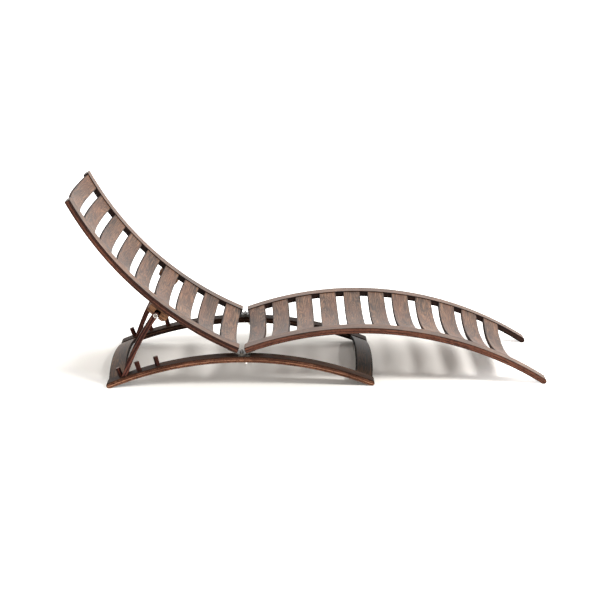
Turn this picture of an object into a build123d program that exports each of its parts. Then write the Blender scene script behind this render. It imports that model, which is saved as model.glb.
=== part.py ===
from build123d import *
import os
from collections import namedtuple
from math import acos, asin, atan2, cos, degrees, hypot, radians, sin, sqrt

# A folding slatted lounger of bent laminate, in millimetres.
# X runs from the head end to the foot end, Z is up and the floor is at Z = 0.
# The sitter's right side is at -Y. The backrest lies at its lowest setting.

# Boards that every section is built on
frame_width = 650
rail_width = 61
board_thickness = 23
arris = 2
floor_flat = 1.5

# Base section, an arch that stands on its two ends
base_length = 1045
base_radius = 1360
hinge_from_crown = 6

# Seat section, which arches from the hinge down to the floor
seat_radius = 1338
seat_rise_angle = 19.5

# Backrest section, hollow towards the sitter
back_radius = 1300
back_slope_angle = 23.7
back_rail_length = 881

# Slats, which sag between the rails
slat_width = 70
slat_thickness = 12
back_slat_pitch = 100
seat_slat_pitch = 102
slat_inset = 6
slat_sag = 26
slat_reveal = 3.5
slat_arris = 2
back_slat_count = 9
seat_slat_count = 11
tenon_length = 14
tenon_thickness = 8
tenon_shoulder = 5
cross_slat_inset = 7
joint_gap = 0.2

# Pegs that stop the struts, one row on each base rail
peg_diameter = 19
peg_height = 37
peg_bed = 16
peg_pitch = 75
peg_from_tip = 65
peg_chamfer = 1.5
peg_count = 3

# Hinge between the three sections
pin_diameter = 6
pin_head_diameter = 8.4
pin_head_height = 1.6
knuckle_radius = 6
knuckle_count = 3
knuckle_gap = 0.4
knuckle_weld = 0.6
leaf_thickness = 4
leaf_width = 48
leaf_length = 56
leaf_relief = 1
rail_setback = 18
foot_plate_tail = 14
foot_plate_reach = 34
stud_from_pin = 18.5

# Struts that prop the backrest, bent so that they are hollow towards the hinge
strut_thickness = 20
strut_radius = 830
strut_width = 54
strut_inset = 6.5
strut_cap_rise = 4
strut_shoulder = 18.5
strut_arris = 1.5
strut_peg_lap = 6
raise_limit = 30

# Pivot blocks under the backrest
pivot_from_hinge = 336
pivot_depth = 31
block_length = 82
block_depth = 33
block_nose = 18
block_heel = 9
cheek_thickness = 15
lug_radius = 17
slot_margin = 1
slot_roof = 4
slot_corner = 6

# Metal fasteners
bolt_diameter = 8
bolt_head_diameter = 14
bolt_head_height = 4.4
bolt_crown_diameter = 10
bolt_socket = 5
bolt_socket_depth = 2.6
bolt_tail = 1.5
washer_diameter = 16
washer_thickness = 1.5
nut_across_flats = 13
nut_height = 6.5
cap_nut_height = 15
cap_nut_hex_height = 8
cap_dome_diameter = 12.5
cap_dome_round = 5.5
stud_head_diameter = 12
stud_head_height = 3
screw_diameter = 4
screw_head_diameter = 7.6
screw_head_height = 2
screw_length = 16
block_screw_length = 45
block_screw_inset = 13
screw_side_spread = 13.5
screw_first_row = 38
screw_second_row = 47
screw_recess = 1.6
screw_recess_length = 4

# Clearances and cuts
running_clearance = 0.1
side_clearance = 0.3
seating_clearance = 0.3
washer_clearance = 0.05
overrun = 5

# Sizes that follow from the ones above
inner_face = frame_width / 2 - rail_width
rail_middle = frame_width / 2 - rail_width / 2
half_board = board_thickness / 2
pin_above_crown = leaf_thickness + knuckle_radius - knuckle_weld
rail_lift = half_board + leaf_thickness - knuckle_radius
strut_outer = frame_width / 2 - strut_inset
strut_inner = strut_outer - strut_width
cheek_outer = inner_face + cheek_thickness
half_strut = strut_thickness / 2

# A curved board in side view. Distances along it start at the end named first and are
# measured on the face that the sitter sees. rise is 1 where that face is the outer side
# of the arc and -1 where it is the inner side.
Board = namedtuple("Board", "centre radius start length rise")


def offset(point, direction, distance):
    return (point[0] + direction[0] * distance, point[1] + direction[1] * distance)


def turned(angle):
    return (cos(radians(angle)), sin(radians(angle)))


def base_board():
    tip_radius = base_radius - half_board
    half_span = base_length / 2 - half_board
    centre_height = half_board - floor_flat - sqrt(tip_radius ** 2 - half_span ** 2)
    half_angle = degrees(asin(half_span / tip_radius))
    return Board(
        centre=(-hinge_from_crown, centre_height),
        radius=base_radius,
        start=90 + half_angle,
        length=radians(2 * half_angle) * base_radius,
        rise=1,
    )


base = base_board()
pin = (0, base.centre[1] + base_radius + pin_above_crown)


def seat_board():
    along = turned(seat_rise_angle)
    up = turned(seat_rise_angle + 90)
    hinge_end = offset(offset(pin, along, rail_setback), up, rail_lift)
    middle_radius = seat_radius - half_board
    centre = offset(hinge_end, up, -middle_radius)
    tip_angle = degrees(asin((half_board - floor_flat - centre[1]) / middle_radius))
    start = seat_rise_angle + 90
    return Board(centre, seat_radius, start, radians(start - tip_angle) * seat_radius, 1)


def back_board():
    along = turned(180 - back_slope_angle)
    up = turned(90 - back_slope_angle)
    hinge_end = offset(offset(pin, along, rail_setback), up, rail_lift)
    centre = offset(hinge_end, up, back_radius + half_board)
    return Board(centre, back_radius, 270 - back_slope_angle, back_rail_length, -1)


seat = seat_board()
back = back_board()


def angle_at(board, distance):
    return board.start - degrees(distance / board.radius)


def point_at(board, distance, depth=0):
    out = turned(angle_at(board, distance))
    return offset(board.centre, out, board.radius - board.rise * depth)


def up_at(board, distance):
    out = turned(angle_at(board, distance))
    return (board.rise * out[0], board.rise * out[1])


def along_at(board, distance):
    return turned(angle_at(board, distance) - 90)


# A plane on the board's face: X runs along the board and Z stands out of its face.
def plane_on(board, distance, side=0, depth=0):
    point = point_at(board, distance, depth)
    along = along_at(board, distance)
    up = up_at(board, distance)
    return Plane(
        origin=(point[0], side, point[1]),
        x_dir=(along[0], 0, along[1]),
        z_dir=(up[0], 0, up[1]),
    )


# Side views are drawn with X to the right and Z up, and given their width along Y.
def side_extrusion(face, side_from, side_to):
    middle = (side_from + side_to) / 2
    plane = Plane(origin=(0, middle, 0), x_dir=(1, 0, 0), z_dir=(0, -1, 0))
    return extrude(plane * face, amount=abs(side_to - side_from) / 2, both=True)


def end_edge(centre, inner, outer, angle, rounded, way):
    low = offset(centre, turned(angle), inner)
    high = offset(centre, turned(angle), outer)
    if not rounded:
        return Line(low, high)
    middle = offset(centre, turned(angle), (inner + outer) / 2)
    tip = offset(middle, turned(angle + 90), way * (outer - inner) / 2)
    return ThreePointArc(low, tip, high)


# A strip between two depths of a board, cut square or rounded at its ends.
def strip(board, first, last, top, bottom, round_first=False, round_last=False):
    radii = sorted(board.radius - board.rise * depth for depth in (top, bottom))
    start = angle_at(board, first)
    stop = angle_at(board, last)
    outline = CenterArc(board.centre, radii[0], start, stop - start)
    outline += CenterArc(board.centre, radii[1], start, stop - start)
    outline += end_edge(board.centre, *radii, start, round_first, 1)
    outline += end_edge(board.centre, *radii, stop, round_last, -1)
    return make_face(outline)


def polygon(points):
    return make_face(Polyline(*points, close=True))


def both_sides(name, right_part):
    return {
        "right_" + name: right_part,
        "left_" + name: mirror(right_part, about=Plane.XZ),
    }


def hexagonal_prism(across_flats, height):
    outline = RegularPolygon(across_flats / 2, 6, major_radius=False)
    return extrude(outline, amount=height)


# Slats

# A slat is one section swung round the centre of its sag, and a cross slat is the
# same laminate turned over.
def slat_shape(turned_over=False):
    way = -1 if turned_over else 1
    radius = (inner_face ** 2 + slat_sag ** 2) / (2 * slat_sag)
    top = -slat_reveal - way * slat_sag
    outline = chamfer(Rectangle(slat_width, slat_thickness).vertices(), slat_arris)
    section = Plane.XZ * Pos(0, top - slat_thickness / 2) * outline
    axis = Axis((0, 0, top + way * radius), (1, 0, 0))
    half_turn = degrees(asin((inner_face + overrun) / (radius - slat_thickness)))
    body = revolve(section, axis, 2 * half_turn).rotate(axis, -half_turn)
    deep = 2 * (slat_sag + slat_reveal + slat_thickness + overrun)
    body &= Box(slat_width + overrun, 2 * inner_face, deep)
    for side in (-1, 1):
        body += tenon_shape(side, 0)
    return body


def tenon_shape(side, gap):
    width = slat_width - 2 * tenon_shoulder + 2 * gap
    thickness = tenon_thickness + 2 * gap
    root = overrun if gap else 0
    length = tenon_length + gap + root
    middle = inner_face + tenon_length + gap - length / 2
    height = -slat_reveal - slat_thickness / 2
    return Pos(0, side * middle, height) * Box(width, length, thickness)


def slat_places(count, pitch):
    return [slat_inset + slat_width / 2 + index * pitch for index in range(count)]


back_slats = slat_places(back_slat_count, back_slat_pitch)
seat_slats = slat_places(seat_slat_count, seat_slat_pitch)
cross_slat_place = cross_slat_inset - half_board + slat_width / 2
cross_slats = [cross_slat_place, base.length - cross_slat_place]


def make_slats():
    parts = {}
    shape = slat_shape()
    for index, place in enumerate(back_slats):
        parts["back_slat_" + str(index + 1)] = plane_on(back, place).location * shape
    for index, place in enumerate(seat_slats):
        parts["seat_slat_" + str(index + 1)] = plane_on(seat, place).location * shape
    crowned = slat_shape(turned_over=True)
    for name, place in zip(("head_cross_slat", "foot_cross_slat"), cross_slats):
        parts[name] = plane_on(base, place).location * crowned
    return parts


# Rails

def rail_blank(board, round_first, round_last):
    face = strip(board, 0, board.length, 0, board_thickness, round_first, round_last)
    blank = side_extrusion(face, -frame_width / 2, -inner_face)
    sides = blank.faces().sort_by(Axis.Y)
    return fillet(sides[0].edges() + sides[-1].edges(), arris)


def with_mortises(rail, board, places):
    for place in places:
        rail -= plane_on(board, place).location * tenon_shape(mortise_side(board), joint_gap)
    return rail


# The plane on a board that runs towards the head end has its Y pointing to the right side.
def mortise_side(board):
    return 1 if along_at(board, board.length / 2)[0] < 0 else -1


def make_back_rails():
    rail = with_mortises(rail_blank(back, False, False), back, back_slats)
    rail -= leaf_screws(back, joint_gap)
    rail -= block_screws(joint_gap)
    return both_sides("back_rail", rail)


def make_seat_rails():
    rail = with_mortises(rail_blank(seat, False, True), seat, seat_slats)
    rail -= leaf_screws(seat, joint_gap)
    return both_sides("seat_rail", split(rail, Plane.XY, keep=Keep.TOP))


def make_base_rails():
    rail = with_mortises(rail_blank(base, True, True), base, cross_slats)
    for place in peg_places:
        bore = Cylinder(peg_diameter / 2 + joint_gap, peg_bed + joint_gap + overrun)
        middle = (overrun - peg_bed - joint_gap) / 2
        rail -= plane_on(base, place, -rail_middle).location * Pos(0, 0, middle) * bore
    hole = Cylinder(bolt_diameter / 2 + joint_gap, 2 * (board_thickness + overrun))
    rail -= plane_on(base, stud_place, -rail_middle).location * hole
    return both_sides("base_rail", split(rail, Plane.XY, keep=Keep.TOP))


# Pegs

peg_places = [peg_from_tip - half_board + index * peg_pitch for index in range(peg_count)]


def make_pegs():
    parts = {}
    middle = (peg_height - peg_bed) / 2
    peg = Pos(0, 0, middle) * Cylinder(peg_diameter / 2, peg_height + peg_bed)
    rim = peg.edges().group_by(Axis.Z)[-1]
    peg = chamfer(rim, peg_chamfer)
    for index, place in enumerate(peg_places):
        seated = plane_on(base, place, -rail_middle).location * peg
        parts.update(both_sides("peg_" + str(index + 1), seated))
    return parts


# Hinge

def base_distance(reach):
    angle = degrees(asin((reach + hinge_from_crown) / base_radius))
    return radians(base.start - 90 + angle) * base_radius


stud_place = base_distance(stud_from_pin)


def leaf_plate(board):
    up = up_at(board, 0)
    foot = offset(pin, up, leaf_thickness - knuckle_radius)
    end = point_at(board, 0, board_thickness)
    flat = polygon([
        foot,
        end,
        offset(end, up, -leaf_thickness),
        offset(foot, up, -leaf_thickness),
    ])
    reach = leaf_length - rail_setback
    return flat + strip(board, 0, reach, board_thickness, board_thickness + leaf_thickness)


def knuckle_bounds(index):
    pitch = leaf_width / knuckle_count
    near = -rail_middle - leaf_width / 2 + index * pitch
    gap_before = knuckle_gap / 2 if index > 0 else 0
    gap_after = knuckle_gap / 2 if index < knuckle_count - 1 else 0
    return near + gap_before, near + pitch - gap_after


def disc(point, radius):
    return Pos(*point) * Circle(radius)


def leaf(board, indices):
    plate = leaf_plate(board)
    neck = plate & disc(pin, leaf_relief + knuckle_radius)
    body = side_extrusion(
        plate - disc(pin, leaf_relief + knuckle_radius),
        -rail_middle - leaf_width / 2,
        leaf_width / 2 - rail_middle,
    )
    for index in indices:
        body += side_extrusion(neck, *knuckle_bounds(index))
        body += side_extrusion(disc(pin, knuckle_radius), *knuckle_bounds(index))
    return body - leaf_screws(board, joint_gap)


def pin_bore(clearance):
    reach = leaf_width / 2 + overrun
    return side_extrusion(
        disc(pin, pin_diameter / 2 + clearance), -rail_middle - reach, reach - rail_middle
    )


# The foot plate lies on the base rail and is one piece with the seat leaf.
def foot_plate():
    face = strip(
        base, base_distance(-foot_plate_tail), base_distance(foot_plate_reach), -leaf_thickness, 0
    )
    plate = side_extrusion(face, -rail_middle - leaf_width / 2, leaf_width / 2 - rail_middle)
    window = side_extrusion(
        disc(pin, leaf_relief + knuckle_radius + leaf_thickness),
        knuckle_bounds(1)[0] - knuckle_gap / 2,
        knuckle_bounds(1)[1] + knuckle_gap / 2,
    )
    hole = Cylinder(bolt_diameter / 2 + joint_gap, 2 * (leaf_thickness + overrun))
    return plate - window - plane_on(base, stud_place, -rail_middle).location * hole


def make_hinges():
    parts = {}
    parts.update(both_sides("back_hinge_leaf", leaf(back, [1]) - pin_bore(running_clearance)))
    fixed = leaf(seat, [0, 2]) + foot_plate()
    parts.update(both_sides("seat_hinge_leaf", fixed - pin_bore(joint_gap / 2)))
    near = -rail_middle - leaf_width / 2 - side_clearance
    far = leaf_width / 2 - rail_middle + side_clearance
    rod = side_extrusion(disc(pin, pin_diameter / 2), near, far)
    head = disc(pin, pin_head_diameter / 2)
    rod += side_extrusion(head, near - pin_head_height, near)
    rod += side_extrusion(head, far, far + pin_head_height)
    parts.update(both_sides("hinge_pin", rod))
    return parts


# Screws through the hinge leaves and the pivot blocks

def screw(length, gap):
    shank = screw_diameter / 2 + gap
    head = screw_head_diameter / 2 + gap
    body = Pos(0, 0, length / 2) * Cylinder(shank, length + 2 * gap)
    cone = Cone(head, shank, screw_head_height)
    body += Pos(0, 0, screw_head_height / 2) * cone
    if gap:
        body += Pos(0, 0, -overrun / 2) * Cylinder(head, overrun)
        return body
    recess = Box(screw_recess, screw_recess_length, screw_head_height)
    return body - recess


# Each screw's head lies flush with the leaf's outer face and its shank runs into the rail.
def leaf_screw_places(board):
    rows = [(screw_first_row, 0), (screw_second_row, -1), (screw_second_row, 1)]
    places = []
    for reach, way in rows:
        side = way * screw_side_spread - rail_middle
        places.append(
            plane_on(board, reach - rail_setback, side, board_thickness + leaf_thickness)
        )
    return places


def leaf_screws(board, gap):
    shape = screw(screw_length, gap)
    return Part() + [place.location * shape for place in leaf_screw_places(board)]


def block_screw_places():
    reach = block_length / 2 - block_screw_inset
    places = []
    for way in (-1, 1):
        place = pivot_from_hinge + way * reach
        places.append(plane_on(back, place, -rail_middle, board_thickness + block_depth))
    return places


def block_screws(gap):
    shape = screw(block_screw_length, gap)
    return Part() + [place.location * shape for place in block_screw_places()]


def make_screws():
    groups = {
        "back_leaf_screws": leaf_screws(back, 0),
        "seat_leaf_screws": leaf_screws(seat, 0),
        "block_screws": block_screws(0),
    }
    return {
        name: Part() + [group, mirror(group, about=Plane.XZ)] for name, group in groups.items()
    }


# Struts

pivot = point_at(back, pivot_from_hinge, board_thickness + pivot_depth)


def foot_corner():
    place = peg_places[0] + peg_diameter / 2 + seating_clearance - strut_peg_lap
    return point_at(base, place, -seating_clearance)


# The middle line of the strut's bend passes through the pivot, and its outer face reaches
# the corner of the foot, so the centre of the bend lies where two circles cross.
def strut_bend():
    corner = foot_corner()
    across = corner[0] - pivot[0]
    down = corner[1] - pivot[1]
    span = hypot(across, down)
    outer = strut_radius + half_strut
    reach = (span ** 2 + strut_radius ** 2 - outer ** 2) / (2 * span)
    rise = sqrt(strut_radius ** 2 - reach ** 2)
    along = (across / span, down / span)
    centre = offset(offset(pivot, along, reach), (-along[1], along[0]), rise)
    return centre, degrees(atan2(pivot[1] - centre[1], pivot[0] - centre[0]))


# Distances run down the strut from the pivot, and across it towards the hinge.
def strut_point(down_strut, across_strut=0):
    centre, start = strut_bend()
    angle = start + degrees(down_strut / strut_radius)
    return offset(centre, turned(angle), strut_radius - across_strut)


def from_pivot(down_strut, across_strut, swing=0):
    start = strut_bend()[1] + swing
    down = turned(start + 90)
    across = turned(start + 180)
    return offset(offset(pivot, down, down_strut), across, across_strut)


def strut_outline():
    centre, start = strut_bend()
    corner = foot_corner()
    foot = degrees(atan2(corner[1] - centre[1], corner[0] - centre[0]))
    first = start - degrees(strut_cap_rise / strut_radius)
    last = foot + degrees((strut_thickness + overrun) / strut_radius)
    inner = CenterArc(centre, strut_radius - half_strut, first, last - first)
    outer = CenterArc(centre, strut_radius + half_strut, first, last - first)
    top = strut_point(-strut_cap_rise - half_strut)
    outline = inner + outer + ThreePointArc(inner @ 0, top, outer @ 0)
    outline += Line(inner @ 1, outer @ 1)
    return make_face(outline) - disc(base.centre, base_radius + seating_clearance)


# The foot is hollowed to sit round its peg, which keeps the strut from slipping sideways.
def make_strut():
    body = side_extrusion(strut_outline(), -strut_outer, -strut_inner)
    sides = body.faces().sort_by(Axis.Y)
    body = fillet(sides[0].edges() + sides[-1].edges(), strut_arris)
    above = strut_cap_rise + half_strut + overrun
    beside = half_strut + overrun
    notch = polygon([
        from_pivot(-above, -beside),
        from_pivot(-above, beside),
        from_pivot(strut_shoulder, beside),
        from_pivot(strut_shoulder, -beside),
    ])
    body -= side_extrusion(notch, -cheek_outer - side_clearance, overrun - strut_inner)
    bore = disc(pivot, bolt_diameter / 2 + running_clearance)
    body -= side_extrusion(bore, -strut_outer - overrun, overrun - strut_inner)
    hollow = Cylinder(peg_diameter / 2 + seating_clearance, 2 * (peg_height + overrun))
    return body - plane_on(base, peg_places[0], -rail_middle).location * hollow


# Pivot blocks

def block_outline():
    first = pivot_from_hinge - block_length / 2
    last = pivot_from_hinge + block_length / 2
    face = strip(back, first, last, board_thickness, board_thickness + block_depth)
    low = point_at(back, first, board_thickness + block_depth)
    corners = face.vertices().sort_by_distance((low[0], low[1], 0))
    face = fillet(corners[0], block_nose)
    low = point_at(back, last, board_thickness + block_depth)
    corners = face.vertices().sort_by_distance((low[0], low[1], 0))
    return fillet(corners[0], block_heel)


def slot_point(along_rail, depth):
    plane = plane_on(back, pivot_from_hinge)
    point = point_at(back, pivot_from_hinge, board_thickness + depth)
    return offset(point, (plane.x_dir.X, plane.x_dir.Z), along_rail)


# The slot is the strut's space at rest, opened towards the hinge for the strut's full swing.
def slot_outline():
    head_side = strut_cap_rise + half_strut
    hinge_side = -half_strut - slot_margin
    deep = block_depth + overrun
    face = polygon([
        slot_point(head_side, slot_roof),
        slot_point(hinge_side, slot_roof),
        slot_point(hinge_side, deep),
        slot_point(head_side, deep),
    ])
    roof = slot_point((head_side + hinge_side) / 2, slot_roof)
    corners = face.vertices().sort_by_distance((roof[0], roof[1], 0))
    face = fillet(corners[:2], slot_corner)
    beside = half_strut + slot_margin
    swing = [
        from_pivot(0, -beside, raise_limit),
        from_pivot(0, beside, raise_limit),
        from_pivot(block_depth, beside, raise_limit),
        from_pivot(block_depth, -beside, raise_limit),
    ]
    return face + polygon(swing)


def make_block():
    body = side_extrusion(block_outline(), -frame_width / 2, -inner_face)
    body -= side_extrusion(slot_outline(), -frame_width / 2 - overrun, -cheek_outer)
    lug = disc(pivot, lug_radius)
    body += side_extrusion(lug, -cheek_outer, -inner_face)
    bore = disc(pivot, bolt_diameter / 2 + joint_gap)
    body -= side_extrusion(bore, -cheek_outer - overrun, overrun - inner_face)
    return body - block_screws(joint_gap)


def make_struts_and_blocks():
    parts = both_sides("strut", make_strut())
    parts.update(both_sides("pivot_block", make_block()))
    return parts


# Bolts, washers and nuts

def at_pivot(shape, side):
    plane = Plane(origin=(pivot[0], side, pivot[1]), x_dir=(1, 0, 0), z_dir=(0, -1, 0))
    return plane.location * shape


def ring(thickness, gap):
    hole = Cylinder(bolt_diameter / 2 + gap, thickness + overrun)
    return Cylinder(washer_diameter / 2, thickness) - hole


outer_washer_face = strut_outer + side_clearance
head_face = outer_washer_face + washer_thickness
inner_washer_face = inner_face - washer_thickness
bolt_end = inner_washer_face - nut_height - bolt_tail


def make_strut_bolt():
    length = head_face - bolt_end
    middle = (head_face + bolt_end) / 2
    body = at_pivot(Cylinder(bolt_diameter / 2, length), -middle)
    head = Cone(bolt_head_diameter / 2, bolt_crown_diameter / 2, bolt_head_height)
    body += at_pivot(head, -head_face - bolt_head_height / 2)
    socket = hexagonal_prism(bolt_socket, bolt_socket_depth + overrun)
    return body - at_pivot(socket, -head_face - bolt_head_height + bolt_socket_depth)


def make_strut_fasteners():
    washer = ring(washer_thickness, joint_gap)
    outer = at_pivot(washer, -outer_washer_face - washer_thickness / 2)
    inner = at_pivot(washer, -inner_face + washer_thickness / 2)
    nut = hexagonal_prism(nut_across_flats, nut_height)
    thread = Cylinder(bolt_diameter / 2 + joint_gap, nut_height + overrun)
    nut -= Pos(0, 0, nut_height / 2) * thread
    nut = at_pivot(nut, -inner_washer_face + nut_height)
    washers = Part() + [outer, inner]
    parts = both_sides("strut_bolt", make_strut_bolt())
    parts["strut_washers"] = washers + mirror(washers, about=Plane.XZ)
    parts["strut_nuts"] = Part() + [nut, mirror(nut, about=Plane.XZ)]
    return parts


def on_base(shape, height):
    return plane_on(base, stud_place, -rail_middle).location * Pos(0, 0, height) * shape


# The washer is flat and the rail's underside is hollow, so they meet at the washer's rim.
washer_top = -board_thickness - washer_clearance
cap_nut_bottom = washer_top - washer_thickness - cap_nut_hex_height


def make_stud():
    bottom = cap_nut_bottom
    length = leaf_thickness - bottom
    body = on_base(Cylinder(bolt_diameter / 2, length), (leaf_thickness + bottom) / 2)
    head = Cylinder(stud_head_diameter / 2, stud_head_height)
    rim = head.edges().group_by(Axis.Z)[-1]
    head = fillet(rim, stud_head_height / 2)
    return body + on_base(head, leaf_thickness + stud_head_height / 2)


def make_cap_nut():
    nut = hexagonal_prism(nut_across_flats, cap_nut_hex_height)
    dome_height = cap_nut_height - cap_nut_hex_height
    dome = Pos(0, 0, -dome_height / 2) * Cylinder(cap_dome_diameter / 2, dome_height)
    rim = dome.edges().group_by(Axis.Z)[0]
    dome = fillet(rim, cap_dome_round)
    nut += dome
    bore = Cylinder(bolt_diameter / 2 + joint_gap, cap_nut_hex_height + overrun)
    middle = (cap_nut_hex_height + overrun) / 2 - joint_gap
    return on_base(nut - Pos(0, 0, middle) * bore, cap_nut_bottom)


def make_stud_fasteners():
    parts = both_sides("hinge_stud", make_stud())
    washer = on_base(ring(washer_thickness, joint_gap), washer_top - washer_thickness / 2)
    parts["stud_washers"] = Part() + [washer, mirror(washer, about=Plane.XZ)]
    nut = make_cap_nut()
    parts["cap_nuts"] = Part() + [nut, mirror(nut, about=Plane.XZ)]
    return parts


# Everything is drawn from the hinge pin, then moved so that X = 0 is the middle.
def export_parts(parts):
    os.makedirs("parts", exist_ok=True)
    head_end = min(part.bounding_box().min.X for part in parts.values())
    foot_end = max(part.bounding_box().max.X for part in parts.values())
    middle = (head_end + foot_end) / 2
    for name, part in parts.items():
        export_step(Pos(-middle, 0, 0) * part, "parts/" + name + ".step")
    print("length", round(foot_end - head_end, 2))
    print("hinge pin at X", round(-middle, 3), "Z", round(pin[1], 3))
    print("strut pivot at X", round(pivot[0] - middle, 3), "Z", round(pivot[1], 3))


parts = {}
parts.update(make_back_rails())
parts.update(make_seat_rails())
parts.update(make_base_rails())
parts.update(make_slats())
parts.update(make_pegs())
parts.update(make_hinges())
parts.update(make_struts_and_blocks())
parts.update(make_strut_fasteners())
parts.update(make_stud_fasteners())
parts.update(make_screws())
export_parts(parts)
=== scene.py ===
from math import asin, cos, pi, radians, sin, sqrt

import bmesh
import bpy
from mathutils import Euler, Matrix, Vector


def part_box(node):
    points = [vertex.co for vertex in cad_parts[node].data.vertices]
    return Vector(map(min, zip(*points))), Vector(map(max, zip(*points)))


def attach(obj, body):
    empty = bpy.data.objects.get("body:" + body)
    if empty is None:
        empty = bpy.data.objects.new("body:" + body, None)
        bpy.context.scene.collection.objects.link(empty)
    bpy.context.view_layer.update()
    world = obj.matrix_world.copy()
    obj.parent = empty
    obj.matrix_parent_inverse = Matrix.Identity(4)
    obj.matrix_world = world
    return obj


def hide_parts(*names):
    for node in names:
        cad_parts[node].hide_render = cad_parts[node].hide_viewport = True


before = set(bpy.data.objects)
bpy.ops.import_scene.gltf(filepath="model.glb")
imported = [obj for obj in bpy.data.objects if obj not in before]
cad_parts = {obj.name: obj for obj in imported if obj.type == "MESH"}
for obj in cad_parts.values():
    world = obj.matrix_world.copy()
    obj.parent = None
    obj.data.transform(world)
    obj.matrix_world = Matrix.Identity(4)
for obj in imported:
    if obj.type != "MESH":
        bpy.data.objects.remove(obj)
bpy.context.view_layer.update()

print("frame loaded with", len(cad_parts), "nodes")

mm = 0.001


# Node building

def toLinear(hexText):
    parts = [int(hexText[i:i + 2], 16) / 255 for i in (1, 3, 5)]
    return [p / 12.92 if p <= 0.04045 else ((p + 0.055) / 1.055) ** 2.4 for p in parts] + [1]


# A setting is a property or an unlinked input; a link starts at a socket or a node's first output.
def addNode(tree, kind, settings=None, links=None):
    node = tree.nodes.new(kind)
    for key, value in (settings or {}).items():
        if isinstance(key, int) or key in node.inputs:
            node.inputs[key].default_value = value
        else:
            setattr(node, key, value)
    for key, source in (links or {}).items():
        socket = source.outputs[0] if hasattr(source, "outputs") else source
        tree.links.new(socket, node.inputs[key])
    return node


def newMaterial(name):
    material = bpy.data.materials.new(name)
    material.use_nodes = True
    material.node_tree.nodes.clear()
    return material, material.node_tree


# Oiled iroko laminate: open-grained brown veneers, pressed over a former, planed and oiled.
# To the eye it is a satin brown with long fibres and short dark pores on the faces, an uneven
# tone where the oil soaked in, and the stacked veneers' thin lines along the edges. Edges that
# face the middle of the lounger are darkened: painted shade.
faceLook = {
    "light": "#AA8062", "dark": "#402D21", "warm": "#80523A",
    "flankLight": "#7A4C3A", "flankDark": "#321A12",
    "veneer": 3.8 * mm, "planedOff": 0.4 * mm, "veneerDepth": 0.5,
    "glueShare": 0.16, "glueDepth": 0.5,
    "fibreLength": 120 * mm, "fibreWidth": 3.4 * mm,   # real fibres are finer than a pixel
    "poreLength": 9 * mm, "poreWidth": 4.2 * mm,       # drawn coarse so that they show
    "figureLength": 460 * mm, "figureWidth": 64 * mm, "figureLines": 22,
    "warmLength": 300 * mm, "warmWidth": 70 * mm,
    "cloudLength": 150 * mm, "cloudWidth": 60 * mm,    # where the oil soaked in unevenly
    "noises": {  # detail, roughness and shift of each
        "fibre": (4, 0.62, 0), "figure": (2, 0.5, 11), "pore": (1, 0.5, 23),
        "warm": (1, 0.5, 5), "cloud": (2, 0.6, 31),
    },
    "mixRange": (0.48, 0.78), "poreRange": (0.52, 0.68),
    "warmRange": (0.42, 0.66), "cloudRange": (0.42, 0.68),
    "fibreDepth": 0.74, "figureDepth": 0.05, "warmDepth": 0.35, "poreDepth": 0.46,
    "cloudDepth": 0.3, "arrisDarkDepth": 0.52, "endDepth": 0.5, "paintedInnerShadeDepth": 0.85,
    "toneSpread": 0.26, "logStep": (7.1, 3.3, 0),
    "roughness": 0.40, "roughSpread": 0.18, "flankRoughness": 0.9, "sheen": 0.22, "ior": 1.5,
    "bump": 0.12, "bumpDepth": 0.4 * mm, "poreBump": 0.8,
}


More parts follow.
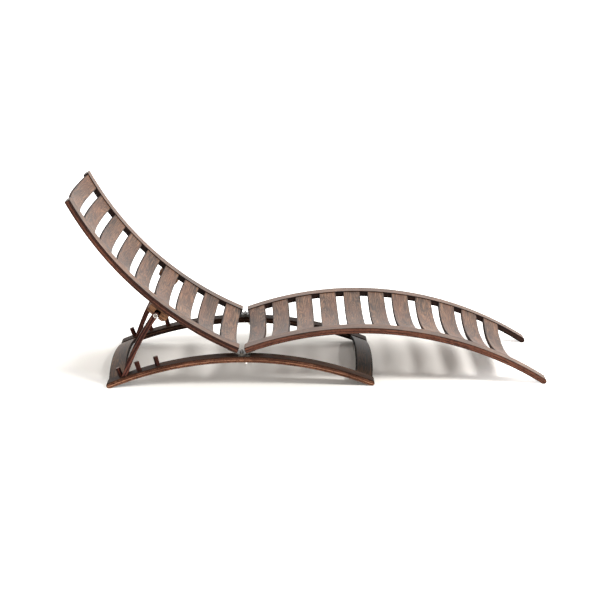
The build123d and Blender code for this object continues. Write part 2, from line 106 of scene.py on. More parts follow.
def makeWood(name, changes=None):
    look = dict(faceLook, **(changes or {}))
    material, tree = newMaterial(name)
    mathNode, mixNode, rangeNode = "ShaderNodeMath", "ShaderNodeMix", "ShaderNodeMapRange"
    grain = addNode(tree, "ShaderNodeAttribute", {"attribute_name": "grain"}).outputs["Vector"]
    tone, arrisDark, flank, endGrain, paintedInnerShade = (
        addNode(tree, "ShaderNodeAttribute", {"attribute_name": field}).outputs["Fac"]
        for field in ("tone", "arrisDark", "flank", "endGrain", "paintedInnerShade"))

    # Every board is cut from another place in the log.
    moved = addNode(tree, "ShaderNodeVectorMath", {"operation": "SCALE", 0: look["logStep"]},
                    {"Scale": tone})
    place = addNode(tree, "ShaderNodeVectorMath", {"operation": "ADD"}, {0: grain, 1: moved})

    # Noises drawn out along the grain
    noises = {}
    for part, (detail, roughness, shift) in look["noises"].items():
        length, width = look[part + "Length"], look[part + "Width"]
        drawn = addNode(tree, "ShaderNodeMapping", {
            "Scale": (1 / length, 1 / width, 1 / width), "Location": (shift, 0, 0)},
            {"Vector": place})
        noises[part] = addNode(tree, "ShaderNodeTexNoise", {
            "Scale": 1, "Detail": detail, "Roughness": roughness}, {"Vector": drawn})
    shares = {}
    for part in ("pore", "warm", "cloud"):
        low, high = look[part + "Range"]
        top = look["warmDepth"] if part == "warm" else 1
        shares[part] = addNode(tree, rangeNode, {1: low, 2: high, 3: 0, 4: top}, {0: noises[part]})

    # Which veneer this is, counted down from the face that is sat on
    depth = addNode(tree, "ShaderNodeSeparateXYZ", {}, {0: grain}).outputs[2]
    below = addNode(tree, mathNode, {"operation": "ADD", 1: look["planedOff"]}, {0: depth})
    layers = addNode(tree, mathNode, {"operation": "DIVIDE", 1: look["veneer"]}, {0: below})
    layer = addNode(tree, mathNode, {"operation": "FLOOR"}, {0: layers})
    share = addNode(tree, mathNode, {"operation": "FRACT"}, {0: layers})
    key = addNode(tree, "ShaderNodeCombineXYZ", {}, {0: layer, 1: tone})
    chance = addNode(tree, "ShaderNodeTexWhiteNoise", {"noise_dimensions": "2D"}, {"Vector": key})
    veneerTone = addNode(tree, mathNode, {"operation": "SUBTRACT", 1: 0.5}, {0: chance})
    onFlank = addNode(tree, mathNode, {"operation": "MULTIPLY", 1: look["veneerDepth"]}, {0: flank})
    line = addNode(tree, mathNode, {"operation": "LESS_THAN", 1: look["glueShare"]}, {0: share})
    glue = addNode(tree, mathNode, {"operation": "MULTIPLY"}, {0: line, 1: flank})

    # Light and dark: broad figure with wavy lines, long fibres, and the veneers on the flanks
    waves = addNode(tree, mathNode, {"operation": "MULTIPLY", 1: look["figureLines"] * 2 * pi},
                    {0: noises["figure"]})
    figure = addNode(tree, mathNode, {"operation": "SINE"}, {0: waves})
    mixed = addNode(tree, mathNode, {
        "operation": "MULTIPLY_ADD", 1: 1 - look["fibreDepth"], 2: look["figureDepth"]},
        {0: noises["figure"]})
    for source, amount in ((figure, look["figureDepth"]), (noises["fibre"], look["fibreDepth"])):
        mixed = addNode(tree, mathNode, {"operation": "MULTIPLY_ADD", 1: amount},
                        {0: source, 2: mixed})
    mixed = addNode(tree, mathNode, {"operation": "MULTIPLY_ADD"},
                    {0: veneerTone, 1: onFlank, 2: mixed})
    low, high = look["mixRange"]
    spread = addNode(tree, rangeNode, {1: low, 2: high, 3: 0, 4: 1}, {0: mixed})

    face = addNode(tree, mixNode, {
        "data_type": "RGBA", 6: toLinear(look["dark"]), 7: toLinear(look["light"])},
        {0: spread}).outputs[2]
    face = addNode(tree, mixNode, {"data_type": "RGBA", 7: toLinear(look["warm"])},
                   {0: shares["warm"], 6: face}).outputs[2]
    side = addNode(tree, mixNode, {
        "data_type": "RGBA", 6: toLinear(look["flankDark"]), 7: toLinear(look["flankLight"])},
        {0: spread}).outputs[2]
    colour = addNode(tree, mixNode, {"data_type": "RGBA"},
                     {0: flank, 6: face, 7: side}).outputs[2]

    # Each of these darkens the colour; the part on the flanks that face the middle is painted
    # shade.
    shade = addNode(tree, mathNode, {
        "operation": "MULTIPLY_ADD", 1: look["toneSpread"], 2: 1 - look["toneSpread"] / 2},
        {0: tone})
    for source, amount in ((shares["pore"], "pore"), (shares["cloud"], "cloud"), (glue, "glue"),
                           (arrisDark, "arrisDark"), (endGrain, "end"), (paintedInnerShade, "paintedInnerShade")):
        left = addNode(tree, mathNode, {
            "operation": "MULTIPLY_ADD", 1: -look[amount + "Depth"], 2: 1}, {0: source})
        shade = addNode(tree, mathNode, {"operation": "MULTIPLY"}, {0: shade, 1: left})
    dull = addNode(tree, "ShaderNodeCombineColor", {}, {0: shade, 1: shade, 2: shade})
    colour = addNode(tree, mixNode, {"data_type": "RGBA", "blend_type": "MULTIPLY", 0: 1},
                     {6: colour, 7: dull}).outputs[2]

    height = addNode(tree, mathNode, {"operation": "MULTIPLY_ADD", 1: -look["poreBump"]},
                     {0: shares["pore"], 2: noises["fibre"]})
    bump = addNode(tree, "ShaderNodeBump", {
        "Strength": look["bump"], "Distance": look["bumpDepth"]}, {"Height": height})
    rough = addNode(tree, mathNode, {
        "operation": "MULTIPLY_ADD", 1: look["roughSpread"],
        2: look["roughness"] - look["roughSpread"] / 2}, {0: noises["fibre"]})
    rough = addNode(tree, mathNode, {
        "operation": "MULTIPLY_ADD", 1: look["flankRoughness"] - look["roughness"]},
        {0: flank, 2: rough})
    # IOR and sheen are set as constants on the shader's own sockets. IOR and sheen stay
    # constants, because the export drops linked ones.
    shader = addNode(tree, "ShaderNodeBsdfPrincipled", {
        "IOR": look["ior"], "Specular IOR Level": look["sheen"]},
        {"Base Color": colour, "Roughness": rough, "Normal": bump})
    addNode(tree, "ShaderNodeOutputMaterial", {}, {"Surface": shader})
    return material


# Slats: the same laminate, with flanks darkened as painted shade between the slats, so that a thin
# dark line runs beside each opening
slatWood = makeWood("oiledIrokoSlats", {"flankLight": "#573829", "flankDark": "#26150F"})
# Cross slats: darker colours as painted shade, as they lie low under the seat and backrest, pale
# only where light grazes them; of the two boards, the foot one under the seat gets the darker tone.
crossWood = makeWood("oiledIrokoCrossSlats", {
    "light": "#785636", "dark": "#22150B", "warm": "#50321E",
    "flankLight": "#3A241A", "flankDark": "#1A0E0A",
    "toneSpread": 0.9, "roughness": 0.5, "sheen": 0.13})
# Rails: the laminate as described above
railWood = makeWood("oiledIrokoRails")
# Base rails: faces darkened as painted shade from the seat and backrest above, dull, and lighter
# reddish edges with pores that look like dashes
baseWood = makeWood("oiledIrokoBase", {
    "light": "#624635", "dark": "#24170F", "warm": "#4C2F1E", "roughness": 0.62, "sheen": 0.1,
    "flankLight": "#B88468", "flankDark": "#4E2E20", "paintedInnerShadeDepth": 0.8,
    "poreWidth": 4.5 * mm, "poreLength": 8 * mm, "poreDepth": 0.5})
# Struts: a redder, nearly matt cut
strutWood = makeWood("oiledIrokoStruts", {
    "light": "#6E4A36", "dark": "#3A2018", "warm": "#582E20",
    "flankLight": "#6B4238", "flankDark": "#331B17", "roughness": 0.75, "sheen": 0.12})
# Blocks: a paler, golden cut
blockWood = makeWood("oiledIrokoBlocks", {"flankLight": "#94643F", "flankDark": "#5A3824"})
# Pegs: turned dowels of dark red-brown wood with little shine
pegWood = makeWood("turnedIrokoPegs", {
    "flankLight": "#5A2C20", "flankDark": "#2A120C", "sheen": 0.2})


# Stainless steel: a cool grey metal, and fine lines that break its highlights up
steelLook = {
    "lineLength": 30 * mm, "lineWidth": 0.8 * mm, "lineDetail": 3, "lineRange": (0.3, 0.7),
    "roughShares": (0.8, 1.25), "bump": 0.05, "bumpDepth": 0.1 * mm,
}


def makeSteel(name, hexText, roughness):
    material, tree = newMaterial(name)
    place = addNode(tree, "ShaderNodeTexCoord").outputs["Object"]
    length, width = steelLook["lineLength"], steelLook["lineWidth"]
    drawn = addNode(tree, "ShaderNodeMapping", {"Scale": (1 / length, 1 / width, 1 / length)},
                    {"Vector": place})
    lines = addNode(tree, "ShaderNodeTexNoise", {"Scale": 1, "Detail": steelLook["lineDetail"]},
                    {"Vector": drawn})
    (low, high), (least, most) = steelLook["lineRange"], steelLook["roughShares"]
    rough = addNode(tree, "ShaderNodeMapRange", {
        1: low, 2: high, 3: roughness * least, 4: roughness * most}, {0: lines})
    bump = addNode(tree, "ShaderNodeBump", {
        "Strength": steelLook["bump"], "Distance": steelLook["bumpDepth"]}, {"Height": lines})
    shader = addNode(tree, "ShaderNodeBsdfPrincipled", {
        "Base Color": toLinear(hexText), "Metallic": 1}, {"Roughness": rough, "Normal": bump})
    addNode(tree, "ShaderNodeOutputMaterial", {}, {"Surface": shader})
    return material


# Polished studs, nuts and screws glint; satin strut bolts are a mid grey with a soft glint; the
# brushed hinge is dull, and its grey is darkened well below steel's as painted shade.
brightSteel = makeSteel("polishedStainlessSteel", "#DAD5D0", 0.16)
boltSteel = makeSteel("satinStainlessSteel", "#6E6762", 0.22)
hingeSteel = makeSteel("brushedStainlessSteel", "#4A4642", 0.36)
print("materials made")


# Boards: the same arcs as the solids, placed from the hinge pin
loungerSizes = {
    "width": 650 * mm, "railWidth": 61 * mm, "thickness": 23 * mm, "floorFlat": 1.5 * mm,
    "baseLength": 1045 * mm, "baseRadius": 1360 * mm, "crownOffset": 6 * mm,
    "seatRadius": 1338 * mm, "seatAngle": 19.5,
    "backRadius": 1300 * mm, "backAngle": 23.7, "backLength": 881 * mm,
    "setback": 18 * mm, "leafThickness": 4 * mm, "knuckleRadius": 6 * mm,
}


def pointAlong(point, angle, distance):
    return (point[0] + cos(angle) * distance, point[1] + sin(angle) * distance)


def makeBoard(centre, radius, start, length, rise):
    return {"centre": centre, "radius": radius, "start": start, "length": length, "rise": rise}


def loungerBoards(sizes):
    half = sizes["thickness"] / 2
    low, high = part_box("right_hinge_pin")
    pin = ((low.x + high.x) / 2, (low.z + high.z) / 2)
    tipRadius = sizes["baseRadius"] - half
    halfSpan = sizes["baseLength"] / 2 - half
    baseStart = pi / 2 + asin(halfSpan / tipRadius)
    baseCentre = (pin[0] - sizes["crownOffset"],
                  half - sizes["floorFlat"] - sqrt(tipRadius ** 2 - halfSpan ** 2))
    baseLength = 2 * (baseStart - pi / 2) * sizes["baseRadius"]
    lift = half + sizes["leafThickness"] - sizes["knuckleRadius"]
    angle = radians(sizes["seatAngle"])
    end = pointAlong(pointAlong(pin, angle, sizes["setback"]), angle + pi / 2, lift)
    middle = sizes["seatRadius"] - half
    seatCentre = pointAlong(end, angle + pi / 2, -middle)
    tip = asin((half - sizes["floorFlat"] - seatCentre[1]) / middle)
    seatStart = angle + pi / 2
    angle = radians(sizes["backAngle"])
    end = pointAlong(pointAlong(pin, pi - angle, sizes["setback"]), pi / 2 - angle, lift)
    backCentre = pointAlong(end, pi / 2 - angle, sizes["backRadius"] + half)
    return {
        "base": makeBoard(baseCentre, sizes["baseRadius"], baseStart, baseLength, 1),
        "seat": makeBoard(seatCentre, sizes["seatRadius"], seatStart,
                          (seatStart - tip) * sizes["seatRadius"], 1),
        "back": makeBoard(backCentre, sizes["backRadius"], 3 * pi / 2 - angle,
                          sizes["backLength"], -1),
    }


boards = loungerBoards(loungerSizes)


def boardAngle(board, along):
    return board["start"] - along / board["radius"]


def boardPoint(board, along, depth):
    angle = boardAngle(board, along)
    x, z = pointAlong(board["centre"], angle, board["radius"] - board["rise"] * depth)
    return Vector((x, 0, z))


def boardUp(board, along):
    angle = boardAngle(board, along)
    return Vector((cos(angle), 0, sin(angle))) * board["rise"]


def boardWay(board, along):
    angle = boardAngle(board, along) - pi / 2
    return Vector((cos(angle), 0, sin(angle)))


boardSteps = {"arcSteps": 4, "rows": 4, "cornerSteps": 8, "sameSpot": 0.0001 * mm}


# A bent board with eased edges. place(along, depth) gives a point on its middle plane and
# directions(along) the way it runs and its up; side is the third way. "inward" says which of its
# flanks faces the middle of the lounger.
def bentBoard(name, place, directions, side, shape):
    length, width, thick = shape["length"], shape["width"], shape["thickness"]
    arris, rounds = shape["arris"], shape["rounds"]
    arcSteps, rows, cornerSteps = (boardSteps[k] for k in ("arcSteps", "rows", "cornerSteps"))

    # Stations follow the board's length, with a few round each end.
    stations = []
    steps = max(2, round((length - sum(rounds)) / shape["step"]))
    for i in range(cornerSteps):
        stations.append(("start", pi / 2 * i / cornerSteps))
    for i in range(steps + 1):
        stations.append(("run", rounds[0] + (length - sum(rounds)) * i / steps))
    for i in range(cornerSteps):
        stations.append(("stop", pi / 2 * (cornerSteps - 1 - i) / cornerSteps))

    def station(kind, value, inset):
        if kind == "run":
            return value, inset, (0, -1)
        radius = rounds[0] if kind == "start" else rounds[1]
        reach = radius - inset
        along = radius - reach * cos(value)
        way = -1
        if kind == "stop":
            along, way = length - along, 1
        return along, radius - reach * sin(value), (way * cos(value), -sin(value))

    # Rings lie side by side across its width: an arris, the face, and the other arris.
    rings = []
    for j in range(arcSteps + 1):
        turn = pi / 2 * (1 - j / arcSteps)
        rings.append((-width / 2 + arris * (1 - sin(turn)), arris * (1 - cos(turn)), -sin(turn)))
    inner = width / 2 - arris
    bandEdge = inner - shape["arrisDarkWidth"]
    for across in (-bandEdge, -inner / 2, 0, inner / 2, bandEdge):
        rings.append((across, 0, 0))
    for across, inset, lean in reversed(rings[:arcSteps + 1]):
        rings.append((-across, inset, -lean))

    # Each ring goes round the section in side view. The two outer ones are filled.
    points, normals, grain, arrisDark, flank, paintedInnerShade, ends, index = [], [], [], [], [], [], [], {}
    seen = {}
    last = len(stations) - 1
    for k, (across, inset, lean) in enumerate(rings):
        outer = k in (0, len(rings) - 1)
        for i, (kind, value) in enumerate(stations):
            along, depth, normal = station(kind, value, inset)
            for j in range(rows + 1):
                edge = j in (0, rows) or i in (0, last)
                if not (edge or outer):
                    continue
                down = depth + (thick - 2 * depth) * j / rows
                way, up = directions(along)
                point = place(along, down) + side * across
                key = tuple(round(c / boardSteps["sameSpot"]) for c in point)
                if key not in seen:
                    seen[key] = len(points)
                    out = Vector((0, 0, 0))
                    if edge:
                        rise = -normal[1] if j == 0 else normal[1] if j == rows else 0
                        out = (way * normal[0] + up * rise).normalized()
                    points.append(point)
                    normals.append((out * sqrt(1 - lean ** 2) + side * lean).normalized())
                    grain.append((along, across, down))
                    # The eased edges and the rims of the flanks are drawn darker.
                    onArris = 0 < k <= arcSteps or 0 < len(rings) - 1 - k <= arcSteps
                    arrisDark.append(1.0 if onArris or (edge and outer) else 0.0)
                    flank.append(abs(lean))
                    # Flanks that face the middle of the lounger get painted shade.
                    paintedInnerShade.append(max(0.0, lean * shape["inward"]))
                    ends.append(abs(normal[0]) * sqrt(1 - lean ** 2) if edge else 0.0)
                index[k, i, j] = seen[key]

    loop = [(i, 0) for i in range(last + 1)] + [(last, j) for j in range(1, rows + 1)]
    loop += [(i, rows) for i in range(last - 1, -1, -1)] + [(0, j) for j in range(rows - 1, 0, -1)]
    faces = []

    def addFace(corners):
        kept = [c for n, c in enumerate(corners) if c != corners[n - 1]]
        if len(set(kept)) > 2:
            faces.append(kept)

    for k in range(len(rings) - 1):
        for n in range(len(loop)):
            a, b = loop[n], loop[(n + 1) % len(loop)]
            addFace([index[k, a[0], a[1]], index[k, b[0], b[1]],
                     index[k + 1, b[0], b[1]], index[k + 1, a[0], a[1]]])
    for k in (0, len(rings) - 1):
        for i in range(last):
            for j in range(rows):
                addFace([index[k, i, j], index[k, i, j + 1],
                         index[k, i + 1, j + 1], index[k, i + 1, j]])
    mesh = bpy.data.meshes.new(name)
    mesh.from_pydata(points, [], faces)
    turnOutwards(mesh)
    mesh.polygons.foreach_set("use_smooth", [True] * len(mesh.polygons))
    mesh.normals_split_custom_set_from_vertices(normals)
    addField(mesh, "grain", "FLOAT_VECTOR", "vector", [v for g in grain for v in g])
    addField(mesh, "arrisDark", "FLOAT", "value", arrisDark)
    addField(mesh, "flank", "FLOAT", "value", flank)
    addField(mesh, "paintedInnerShade", "FLOAT", "value", paintedInnerShade)
    addField(mesh, "endGrain", "FLOAT", "value", ends)
    return mesh


def turnOutwards(mesh):
    shell = bmesh.new()
    shell.from_mesh(mesh)
    bmesh.ops.recalc_face_normals(shell, faces=shell.faces)
    shell.to_mesh(mesh)
    shell.free()


def addField(mesh, name, kind, key, values):
    field = mesh.attributes.new(name, kind, "POINT")
    field.data.foreach_set(key, values)


def addPiece(name, mesh, body, material, nodes, tone=None):
    piece = bpy.data.objects.new(name, mesh)
    bpy.context.scene.collection.objects.link(piece)
    if tone is not None:
        addField(mesh, "tone", "FLOAT", "value", [tone] * len(mesh.vertices))
    if not mesh.materials:
        mesh.materials.append(material)
    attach(piece, body)
    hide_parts(*nodes)


railSizes = {
    "arris": 2 * mm, "squareEnd": 2.6 * mm, "step": 9 * mm, "arrisDarkWidth": 3 * mm,
    "tones": {"right": {"Back": 0.42, "Seat": 0.25, "Base": 0.6},
              "left": {"Back": 0.8, "Seat": 0.55, "Base": 0.15}},
}


def makeRail(kind, sideName, rounds, body, material):
    name = sideName + kind + "Rail"
    board = boards[kind.lower()]
    outward = -1 if sideName == "right" else 1
    middle = (loungerSizes["width"] - loungerSizes["railWidth"]) / 2 * outward
    past = [end if end > railSizes["squareEnd"] else 0 for end in rounds]  # a round end bulges

    def place(along, depth):
        return boardPoint(board, along - past[0], depth) + Vector((0, middle, 0))

    def directions(along):
        return boardWay(board, along - past[0]), boardUp(board, along - past[0])

    mesh = bentBoard(name, place, directions, Vector((0, 1, 0)), {
        "length": board["length"] + sum(past), "width": loungerSizes["railWidth"],
        "thickness": loungerSizes["thickness"], "arris": railSizes["arris"],
        "rounds": rounds, "step": railSizes["step"], "arrisDarkWidth": railSizes["arrisDarkWidth"],
        "inward": -outward,
    })
    flattenFeet(mesh)
    node = sideName + "_" + kind.lower() + "_rail"
    tone = railSizes["tones"][sideName][kind]
    addPiece(name, mesh, body, material, [node], tone)


def flattenFeet(mesh):
    for vertex in mesh.vertices:
        if vertex.co.z < 0:
            vertex.co.z = 0


def makeRails():
    tip = loungerSizes["thickness"] / 2
    square = railSizes["squareEnd"]
    for sideName in ("right", "left"):
        makeRail("Back", sideName, (square, square), "backrest", railWood)
        makeRail("Seat", sideName, (square, tip), "base_and_seat", railWood)
        makeRail("Base", sideName, (tip, tip), "base_and_seat", baseWood)


makeRails()
print("rails made")


# Slats: one bent laminate, repeated along a board by a node tree
slatSizes = {
    "width": 70 * mm, "thickness": 12 * mm, "sag": 26 * mm,
    "reveal": 3.5 * mm,   # from the rails' face down to the slat's at its ends
    "housing": 2 * mm,    # how far the ends run into the rails
    "arris": 2.7 * mm, "squareEnd": 2.2 * mm, "step": 10 * mm, "arrisDarkWidth": 2.5 * mm,
    "backCount": 9, "backPitch": 100 * mm, "backSeed": 4,
    "seatCount": 11, "seatPitch": 102 * mm, "seatSeed": 9, "inset": 6 * mm,
    # crossSeed gives the foot cross slat, under the seat, the darker tone: painted shade.
    "crossCount": 2, "crossInset": 7 * mm, "crossSeed": 58,
}


def slatMesh(name, turnedOver):
    halfSpan = loungerSizes["width"] / 2 - loungerSizes["railWidth"]
    sag, reveal = slatSizes["sag"], slatSizes["reveal"]
    radius = (halfSpan ** 2 + sag ** 2) / (2 * sag)
    way = -1 if turnedOver else 1
    centre = -reveal - way * sag + way * radius
    halfTurn = asin((halfSpan + slatSizes["housing"]) / radius)
    length = 2 * halfTurn * radius

    def place(along, depth):
        angle = along / radius - halfTurn
        reach = radius + way * depth
        return Vector((0, reach * sin(angle), centre - way * reach * cos(angle)))

    def directions(along):
        angle = along / radius - halfTurn
        runs = Vector((0, cos(angle), way * sin(angle)))
        return runs, Vector((0, -runs.z, runs.y))

    return bentBoard(name, place, directions, Vector((1, 0, 0)), {
        "length": length, "width": slatSizes["width"], "thickness": slatSizes["thickness"],
        "arris": slatSizes["arris"], "rounds": (slatSizes["squareEnd"], slatSizes["squareEnd"]),
        "step": slatSizes["step"], "arrisDarkWidth": slatSizes["arrisDarkWidth"], "inward": 0,
    })


# The tree sets copies of the piece it is given along an arc in side view, in one or two rows.
def alongArcTree():
    tree = bpy.data.node_groups.new("RepeatAlongArc", "GeometryNodeTree")
    tree.interface.new_socket("Geometry", in_out="OUTPUT", socket_type="NodeSocketGeometry")
    for name, kind in (("Geometry", "Geometry"), ("Count", "Int"), ("Rows", "Int"),
                       ("First Place", "Float"), ("Pitch", "Float"), ("Arc Radius", "Float"),
                       ("Centre X", "Float"), ("Centre Z", "Float"), ("Start Angle", "Float"),
                       ("First Turn", "Float"), ("Row Reach", "Float"), ("Seed", "Int"),
                       ("Finish", "Material")):
        tree.interface.new_socket(name, in_out="INPUT", socket_type="NodeSocket" + kind)
    given = addNode(tree, "NodeGroupInput").outputs
    mathNode = "ShaderNodeMath"

    # Copies are numbered place by place, and at each place the right one comes first.
    number = addNode(tree, "GeometryNodeInputIndex")
    steps = addNode(tree, mathNode, {"operation": "DIVIDE"}, {0: number, 1: given["Rows"]})
    step = addNode(tree, mathNode, {"operation": "FLOOR"}, {0: steps})
    row = addNode(tree, mathNode, {"operation": "MODULO"}, {0: number, 1: given["Rows"]})
    side = addNode(tree, mathNode, {"operation": "MULTIPLY_ADD", 1: 2, 2: -1}, {0: row})
    across = addNode(tree, mathNode, {"operation": "MULTIPLY"}, {0: side, 1: given["Row Reach"]})
    along = addNode(tree, mathNode, {"operation": "MULTIPLY_ADD"},
                    {0: step, 1: given["Pitch"], 2: given["First Place"]})
    turn = addNode(tree, mathNode, {"operation": "DIVIDE"}, {0: along, 1: given["Arc Radius"]})
    angle = addNode(tree, mathNode, {"operation": "SUBTRACT"}, {0: given["Start Angle"], 1: turn})
    x, z = (addNode(tree, mathNode, {"operation": "MULTIPLY_ADD"}, {
        0: addNode(tree, mathNode, {"operation": operation}, {0: angle}),
        1: given["Arc Radius"], 2: given[centre],
    }) for operation, centre in (("COSINE", "Centre X"), ("SINE", "Centre Z")))
    place = addNode(tree, "ShaderNodeCombineXYZ", {}, {0: x, 1: across, 2: z})
    total = addNode(tree, mathNode, {"operation": "ADD"}, {0: given["First Turn"], 1: turn})
    lean = addNode(tree, "ShaderNodeCombineXYZ", {}, {1: total})
    copies = addNode(tree, mathNode, {"operation": "MULTIPLY"},
                     {0: given["Count"], 1: given["Rows"]})
    points = addNode(tree, "GeometryNodePoints", {}, {"Count": copies, "Position": place})
    placed = addNode(tree, "GeometryNodeInstanceOnPoints", {},
                     {"Points": points, "Instance": given["Geometry"], "Rotation": lean})
    chance = addNode(tree, "FunctionNodeRandomValue", {"data_type": "FLOAT"},
                     {"Seed": given["Seed"]}).outputs[1]
    toned = addNode(tree, "GeometryNodeStoreNamedAttribute",
                    {"data_type": "FLOAT", "domain": "INSTANCE", "Name": "tone"},
                    {"Geometry": placed, "Value": chance})
    real = addNode(tree, "GeometryNodeRealizeInstances", {}, {0: toned})
    finished = addNode(tree, "GeometryNodeSetMaterial", {},
                       {"Geometry": real, "Material": given["Finish"]})
    addNode(tree, "NodeGroupOutput", {}, {0: finished})
    return tree


arcTree = alongArcTree()


def repeated(name, mesh, values):
    holder = bpy.data.objects.new(name + "Holder", mesh)
    bpy.context.scene.collection.objects.link(holder)
    modifier = holder.modifiers.new("repeat", "NODES")
    modifier.node_group = arcTree
    for item in arcTree.interface.items_tree:
        if item.in_out == "INPUT" and item.name in values:
            modifier[item.identifier] = values[item.name]
    graph = bpy.context.evaluated_depsgraph_get()
    made = bpy.data.meshes.new_from_object(holder.evaluated_get(graph))
    bpy.data.objects.remove(holder)
    made.name = name
    return made


# First place and pitch are measured on the board's upper face.
def arcValues(board, count, first, pitch, finish, seed, rows=1, reach=0.0):
    return {
        "Count": count, "Rows": rows, "First Place": first, "Pitch": pitch,
        "Arc Radius": board["radius"], "Centre X": board["centre"][0],
        "Centre Z": board["centre"][1], "Start Angle": board["start"],
        "First Turn": pi / 2 - board["start"] + (pi if board["rise"] < 0 else 0),
        "Row Reach": reach, "Seed": seed, "Finish": finish,
    }


def makeSlats():
    first = slatSizes["inset"] + slatSizes["width"] / 2
    plain = slatMesh("slatPattern", False)
    for kind, body in (("back", "backrest"), ("seat", "base_and_seat")):
        count = slatSizes[kind + "Count"]
        values = arcValues(boards[kind], count, first, slatSizes[kind + "Pitch"], slatWood,
                           slatSizes[kind + "Seed"])
        nodes = [kind + "_slat_" + str(i + 1) for i in range(count)]
        name = kind + "Slats"
        addPiece(name, repeated(name, plain, values), body, slatWood, nodes)
    board = boards["base"]
    first = slatSizes["crossInset"] - loungerSizes["thickness"] / 2 + slatSizes["width"] / 2
    values = arcValues(board, slatSizes["crossCount"], first, board["length"] - 2 * first,
                       crossWood, slatSizes["crossSeed"])
    crossed = repeated("crossSlats", slatMesh("crossPattern", True), values)
    addPiece("crossSlats", crossed, "base_and_seat", crossWood,
             ["head_cross_slat", "foot_cross_slat"])


makeSlats()
print("slats made")


# Pegs: turned dowels with a soft top edge
pegSizes = {
    "radius": 9.5 * mm, "height": 37 * mm, "bed": 3 * mm, "round": 1.8 * mm, "dome": 0.1 * mm,
    "flatShare": 0.55, "fromTip": 65 * mm, "pitch": 75 * mm, "count": 3, "rows": 2,
    "seed": 6, "sides": 48, "rings": 6, "roundSteps": 5, "topBand": 0.2 * mm, "topGrain": 0.5,
    "sharpAngle": 50,
}


def pegMesh():
    radius, height, soft = pegSizes["radius"], pegSizes["height"], pegSizes["round"]
    rings, turns, sides = pegSizes["rings"], pegSizes["roundSteps"], pegSizes["sides"]
    line = [(radius, -pegSizes["bed"])] + [(radius, height * i / rings) for i in range(rings)]
    for i in range(turns + 1):
        angle = pi / 2 * i / turns
        line.append((radius - soft * (1 - cos(angle)), height - soft * (1 - sin(angle))))
    line.append((radius * pegSizes["flatShare"], height + pegSizes["dome"]))
    points, faces, grain, flank, ends = [], [], [], [], []
    for reach, rise in line:
        top = rise > height - pegSizes["topBand"]
        for s in range(sides):
            angle = 2 * pi * s / sides
            across, away = reach * sin(angle), reach * cos(angle)
            points.append((away, across, rise))
            grain += [rise, across, away]
            flank.append(0.0 if top else 1.0)
            ends.append(pegSizes["topGrain"] if top else 0.0)
    for k in range(len(line) - 1):
        for s in range(sides):
            t = (s + 1) % sides
            faces.append([k * sides + s, k * sides + t, (k + 1) * sides + t, (k + 1) * sides + s])
    faces.append([(len(line) - 1) * sides + s for s in range(sides)])
    faces.append([s for s in reversed(range(sides))])
    mesh = bpy.data.meshes.new("pegPattern")
    mesh.from_pydata(points, [], faces)
    turnOutwards(mesh)
    mesh.polygons.foreach_set("use_smooth", [True] * len(mesh.polygons))
    mesh.set_sharp_from_angle(angle=radians(pegSizes["sharpAngle"]))
    addField(mesh, "grain", "FLOAT_VECTOR", "vector", grain)
    addField(mesh, "flank", "FLOAT", "value", flank)
    addField(mesh, "endGrain", "FLOAT", "value", ends)
    return mesh


def makePegs():
    first = pegSizes["fromTip"] - loungerSizes["thickness"] / 2
    reach = (loungerSizes["width"] - loungerSizes["railWidth"]) / 2
    values = arcValues(boards["base"], pegSizes["count"], first, pegSizes["pitch"], pegWood,
                       pegSizes["seed"], rows=pegSizes["rows"], reach=reach)
    nodes = [sideName + "_peg_" + str(i + 1)
             for sideName in ("right", "left") for i in range(pegSizes["count"])]
    addPiece("strutPegs", repeated("strutPegs", pegMesh(), values), "base_and_seat", pegWood,
             nodes)


makePegs()
print("pegs made")


# Struts and pivot blocks keep the solids' shapes, with a grain that runs along each.
strutLook = {
    "sameSpot": 0.001 * mm, "sharpAngle": 32, "endFrom": 0.5, "blockAboveMiddle": 30 * mm,
    "tones": {"right": 0.3, "left": 0.7},
}


def copiedMesh(node, name):
    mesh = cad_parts[node].data.copy()
    mesh.name = name
    shell = bmesh.new()
    shell.from_mesh(mesh)
    bmesh.ops.remove_doubles(shell, verts=shell.verts, dist=strutLook["sameSpot"])
    shell.to_mesh(mesh)
    shell.free()
    mesh.materials.clear()
    mesh.polygons.foreach_set("use_smooth", [True] * len(mesh.polygons))
    mesh.set_sharp_from_angle(angle=radians(strutLook["sharpAngle"]))
    return mesh


def makeCopied(node, name, body, material, along, up, tone, origin):
    mesh = copiedMesh(node, name)
    side = Vector((0, 1, 0))
    grain, flank, ends = [], [], []
    for vertex in mesh.vertices:
        offset = vertex.co - origin
        grain += [offset.dot(along), offset.dot(side), -offset.dot(up)]
        flank.append(abs(vertex.normal.dot(side)))
        ends.append(max(0.0, abs(vertex.normal.dot(along)) - strutLook["endFrom"]))
    addField(mesh, "grain", "FLOAT_VECTOR", "vector", grain)
    addField(mesh, "flank", "FLOAT", "value", flank)
    addField(mesh, "endGrain", "FLOAT", "value", ends)
    addPiece(name, mesh, body, material, [node], tone)


def makeStruts():
    for side, tone in strutLook["tones"].items():
        low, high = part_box(side + "_strut")
        top = Vector((high.x, 0, high.z))
        along = (Vector((low.x, 0, low.z)) - top).normalized()
        up = Vector((along.z, 0, -along.x))
        makeCopied(side + "_strut", side + "Strut", side + "_prop", strutWood,
                   along, up, tone, top)
        low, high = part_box(side + "_pivot_block")
        middle = (low + high) / 2
        centre = boards["back"]["centre"]
        away = Vector((middle.x - centre[0], 0, middle.z - centre[1])).normalized()
        way = Vector((away.z, 0, -away.x))
        makeCopied(side + "_pivot_block", side + "PivotBlock", "backrest", blockWood,
                   way, -away, tone, middle + away * strutLook["blockAboveMiddle"])


makeStruts()
print("struts and blocks made")


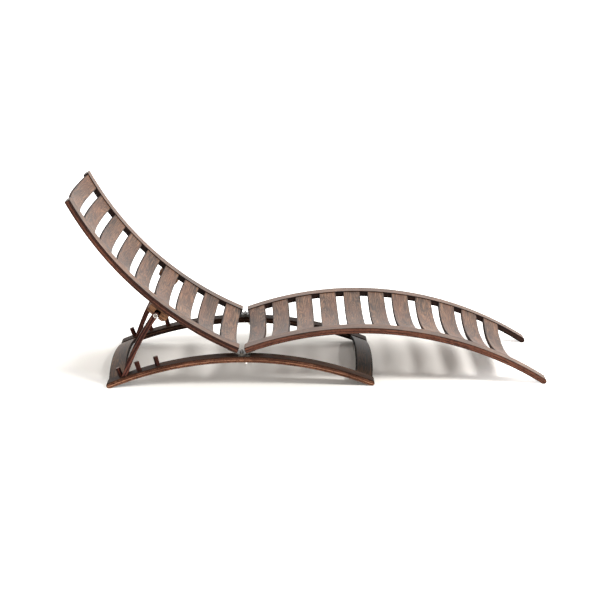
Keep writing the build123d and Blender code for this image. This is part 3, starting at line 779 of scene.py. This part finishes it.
# Metal keeps the solids and takes a steel finish.
for name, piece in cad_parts.items():
    if "hinge_leaf" in name or "hinge_pin" in name:
        finish = hingeSteel
    elif name.endswith("bolt"):
        finish = boltSteel
    elif name.endswith(("stud", "washers", "nuts", "screws")):
        finish = brightSteel
    else:
        continue
    for slot in piece.material_slots:
        slot.material = finish
print("steel finished")


# Stage: a pale floor in a white studio. Away from the object the floor glows white to the camera
# and in reflections, painted light that fades the object's shadow out with distance.
stageLook = {
    "floorColour": "#F5F1EA", "floorSize": 60.0,
    "fadeCentre": (-0.10, 0.02), "fadeReach": (1.50, 0.71), "fadeStart": 0.43, "fadeEnd": 1.0,
    "backdrop": 1.4, "cameraSide": 0.16, "turnover": 0.4,
}


def makeFloor():
    material, tree = newMaterial("paleFloor")
    place = addNode(tree, "ShaderNodeTexCoord").outputs["Object"]
    reach, centre = stageLook["fadeReach"], stageLook["fadeCentre"]
    scaled = addNode(tree, "ShaderNodeMapping", {
        "Scale": (1 / reach[0], 1 / reach[1], 1),
        "Location": (-centre[0] / reach[0], -centre[1] / reach[1], 0)}, {"Vector": place})
    away = addNode(tree, "ShaderNodeVectorMath", {"operation": "LENGTH"},
                   {0: scaled}).outputs["Value"]
    glow = addNode(tree, "ShaderNodeMapRange", {
        "interpolation_type": "SMOOTHSTEP",
        1: stageLook["fadeStart"], 2: stageLook["fadeEnd"], 3: 0, 4: 1}, {0: away})
    path = addNode(tree, "ShaderNodeLightPath").outputs
    seen = path["Is Camera Ray"]
    for key in ("Is Glossy Ray", "Is Transmission Ray"):
        seen = addNode(tree, "ShaderNodeMath", {"operation": "MAXIMUM"}, {0: seen, 1: path[key]})
    strength = addNode(tree, "ShaderNodeMath", {"operation": "MULTIPLY"}, {0: glow, 1: seen})
    matt = addNode(tree, "ShaderNodeBsdfDiffuse", {"Color": toLinear(stageLook["floorColour"])})
    white = addNode(tree, "ShaderNodeEmission", {"Color": (1, 1, 1, 1)}, {"Strength": strength})
    both = addNode(tree, "ShaderNodeAddShader", {}, {0: matt, 1: white})
    addNode(tree, "ShaderNodeOutputMaterial", {}, {"Surface": both})
    half = stageLook["floorSize"] / 2
    mesh = bpy.data.meshes.new("floor")
    mesh.from_pydata([(-half, -half, 0), (half, -half, 0), (half, half, 0), (-half, half, 0)],
                     [], [(0, 1, 2, 3)])
    mesh.materials.append(material)
    floor = bpy.data.objects.new("floor", mesh)
    bpy.context.scene.collection.objects.link(floor)


# The studio is bright behind the object and dim on the camera's side. The camera sees it white.
def makeWorld():
    world = bpy.data.worlds.new("whiteStudio")
    world.use_nodes = True
    tree = world.node_tree
    tree.nodes.clear()
    way = addNode(tree, "ShaderNodeTexCoord").outputs["Generated"]
    behind = addNode(tree, "ShaderNodeSeparateXYZ", {}, {0: way}).outputs[1]
    strength = addNode(tree, "ShaderNodeMapRange", {
        1: -stageLook["turnover"], 2: stageLook["turnover"],
        3: stageLook["cameraSide"], 4: stageLook["backdrop"]}, {0: behind})
    studio = addNode(tree, "ShaderNodeBackground", {"Color": (1, 1, 1, 1)}, {"Strength": strength})
    white = addNode(tree, "ShaderNodeBackground", {"Color": (1, 1, 1, 1), "Strength": 1})
    path = addNode(tree, "ShaderNodeLightPath").outputs
    both = addNode(tree, "ShaderNodeMixShader", {},
                   {0: path["Is Camera Ray"], 1: studio, 2: white})
    addNode(tree, "ShaderNodeOutputWorld", {}, {"Surface": both})
    bpy.context.scene.world = world


# The key lamp stands to the right of the camera, high enough for the floor's slanting shadow.
lamps = {
    "key": {"place": (3.5, -2.25, 3.35), "aim": (0.3, 0.0, 0.15), "size": (1.5, 1.5),
            "power": 330.0},
    "fill": {"place": (-2.4, -2.6, 1.7), "aim": (-0.3, 0.0, 0.2), "size": (1.8, 1.2),
             "power": 40.0},
}


def makeLamps():
    for name, settings in lamps.items():
        data = bpy.data.lights.new(name, "AREA")
        data.shape = "RECTANGLE"
        data.size, data.size_y = settings["size"]
        data.energy = settings["power"]
        lamp = bpy.data.objects.new(name, data)
        lamp.location = settings["place"]
        aim = Vector(settings["aim"]) - Vector(settings["place"])
        lamp.rotation_euler = aim.to_track_quat("-Z", "Y").to_euler()
        bpy.context.scene.collection.objects.link(lamp)


# The camera stands where the photograph's lines put it.
cameraSettings = {
    "fromPin": 180.8 * mm, "y": -6259 * mm, "z": 1869.2 * mm,
    "pitch": 14.38, "yaw": -0.460, "roll": -0.457, "lens": 95.7, "sensor": 36.0, "seesTo": 200,
}


def makeCamera():
    low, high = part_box("right_hinge_pin")
    data = bpy.data.cameras.new("camera")
    data.sensor_width = cameraSettings["sensor"]
    data.lens = cameraSettings["lens"]
    data.clip_end = cameraSettings["seesTo"]
    camera = bpy.data.objects.new("camera", data)
    bpy.context.scene.collection.objects.link(camera)
    camera.location = ((low.x + high.x) / 2 + cameraSettings["fromPin"],
                       cameraSettings["y"], cameraSettings["z"])
    yaw, pitch, roll = (radians(cameraSettings[k]) for k in ("yaw", "pitch", "roll"))
    ahead = Euler((0, 0, yaw)).to_matrix() @ Vector((0, cos(pitch), -sin(pitch)))
    up = Euler((0, 0, yaw)).to_matrix() @ Vector((0, sin(pitch), cos(pitch)))
    right = ahead.cross(up)
    rolledRight = right * cos(roll) + up * sin(roll)
    rolledUp = up * cos(roll) - right * sin(roll)
    turn = camera.matrix_world.to_3x3()
    for axis, vector in enumerate((rolledRight, rolledUp, -ahead)):
        for row in range(3):
            turn[row][axis] = vector[row]
    camera.rotation_euler = turn.to_euler()
    bpy.context.scene.camera = camera


makeFloor()
makeWorld()
makeLamps()
makeCamera()
bpy.context.scene.view_settings.view_transform = "Standard"
print("stage, lamps and camera made")

bpy.context.view_layer.update()
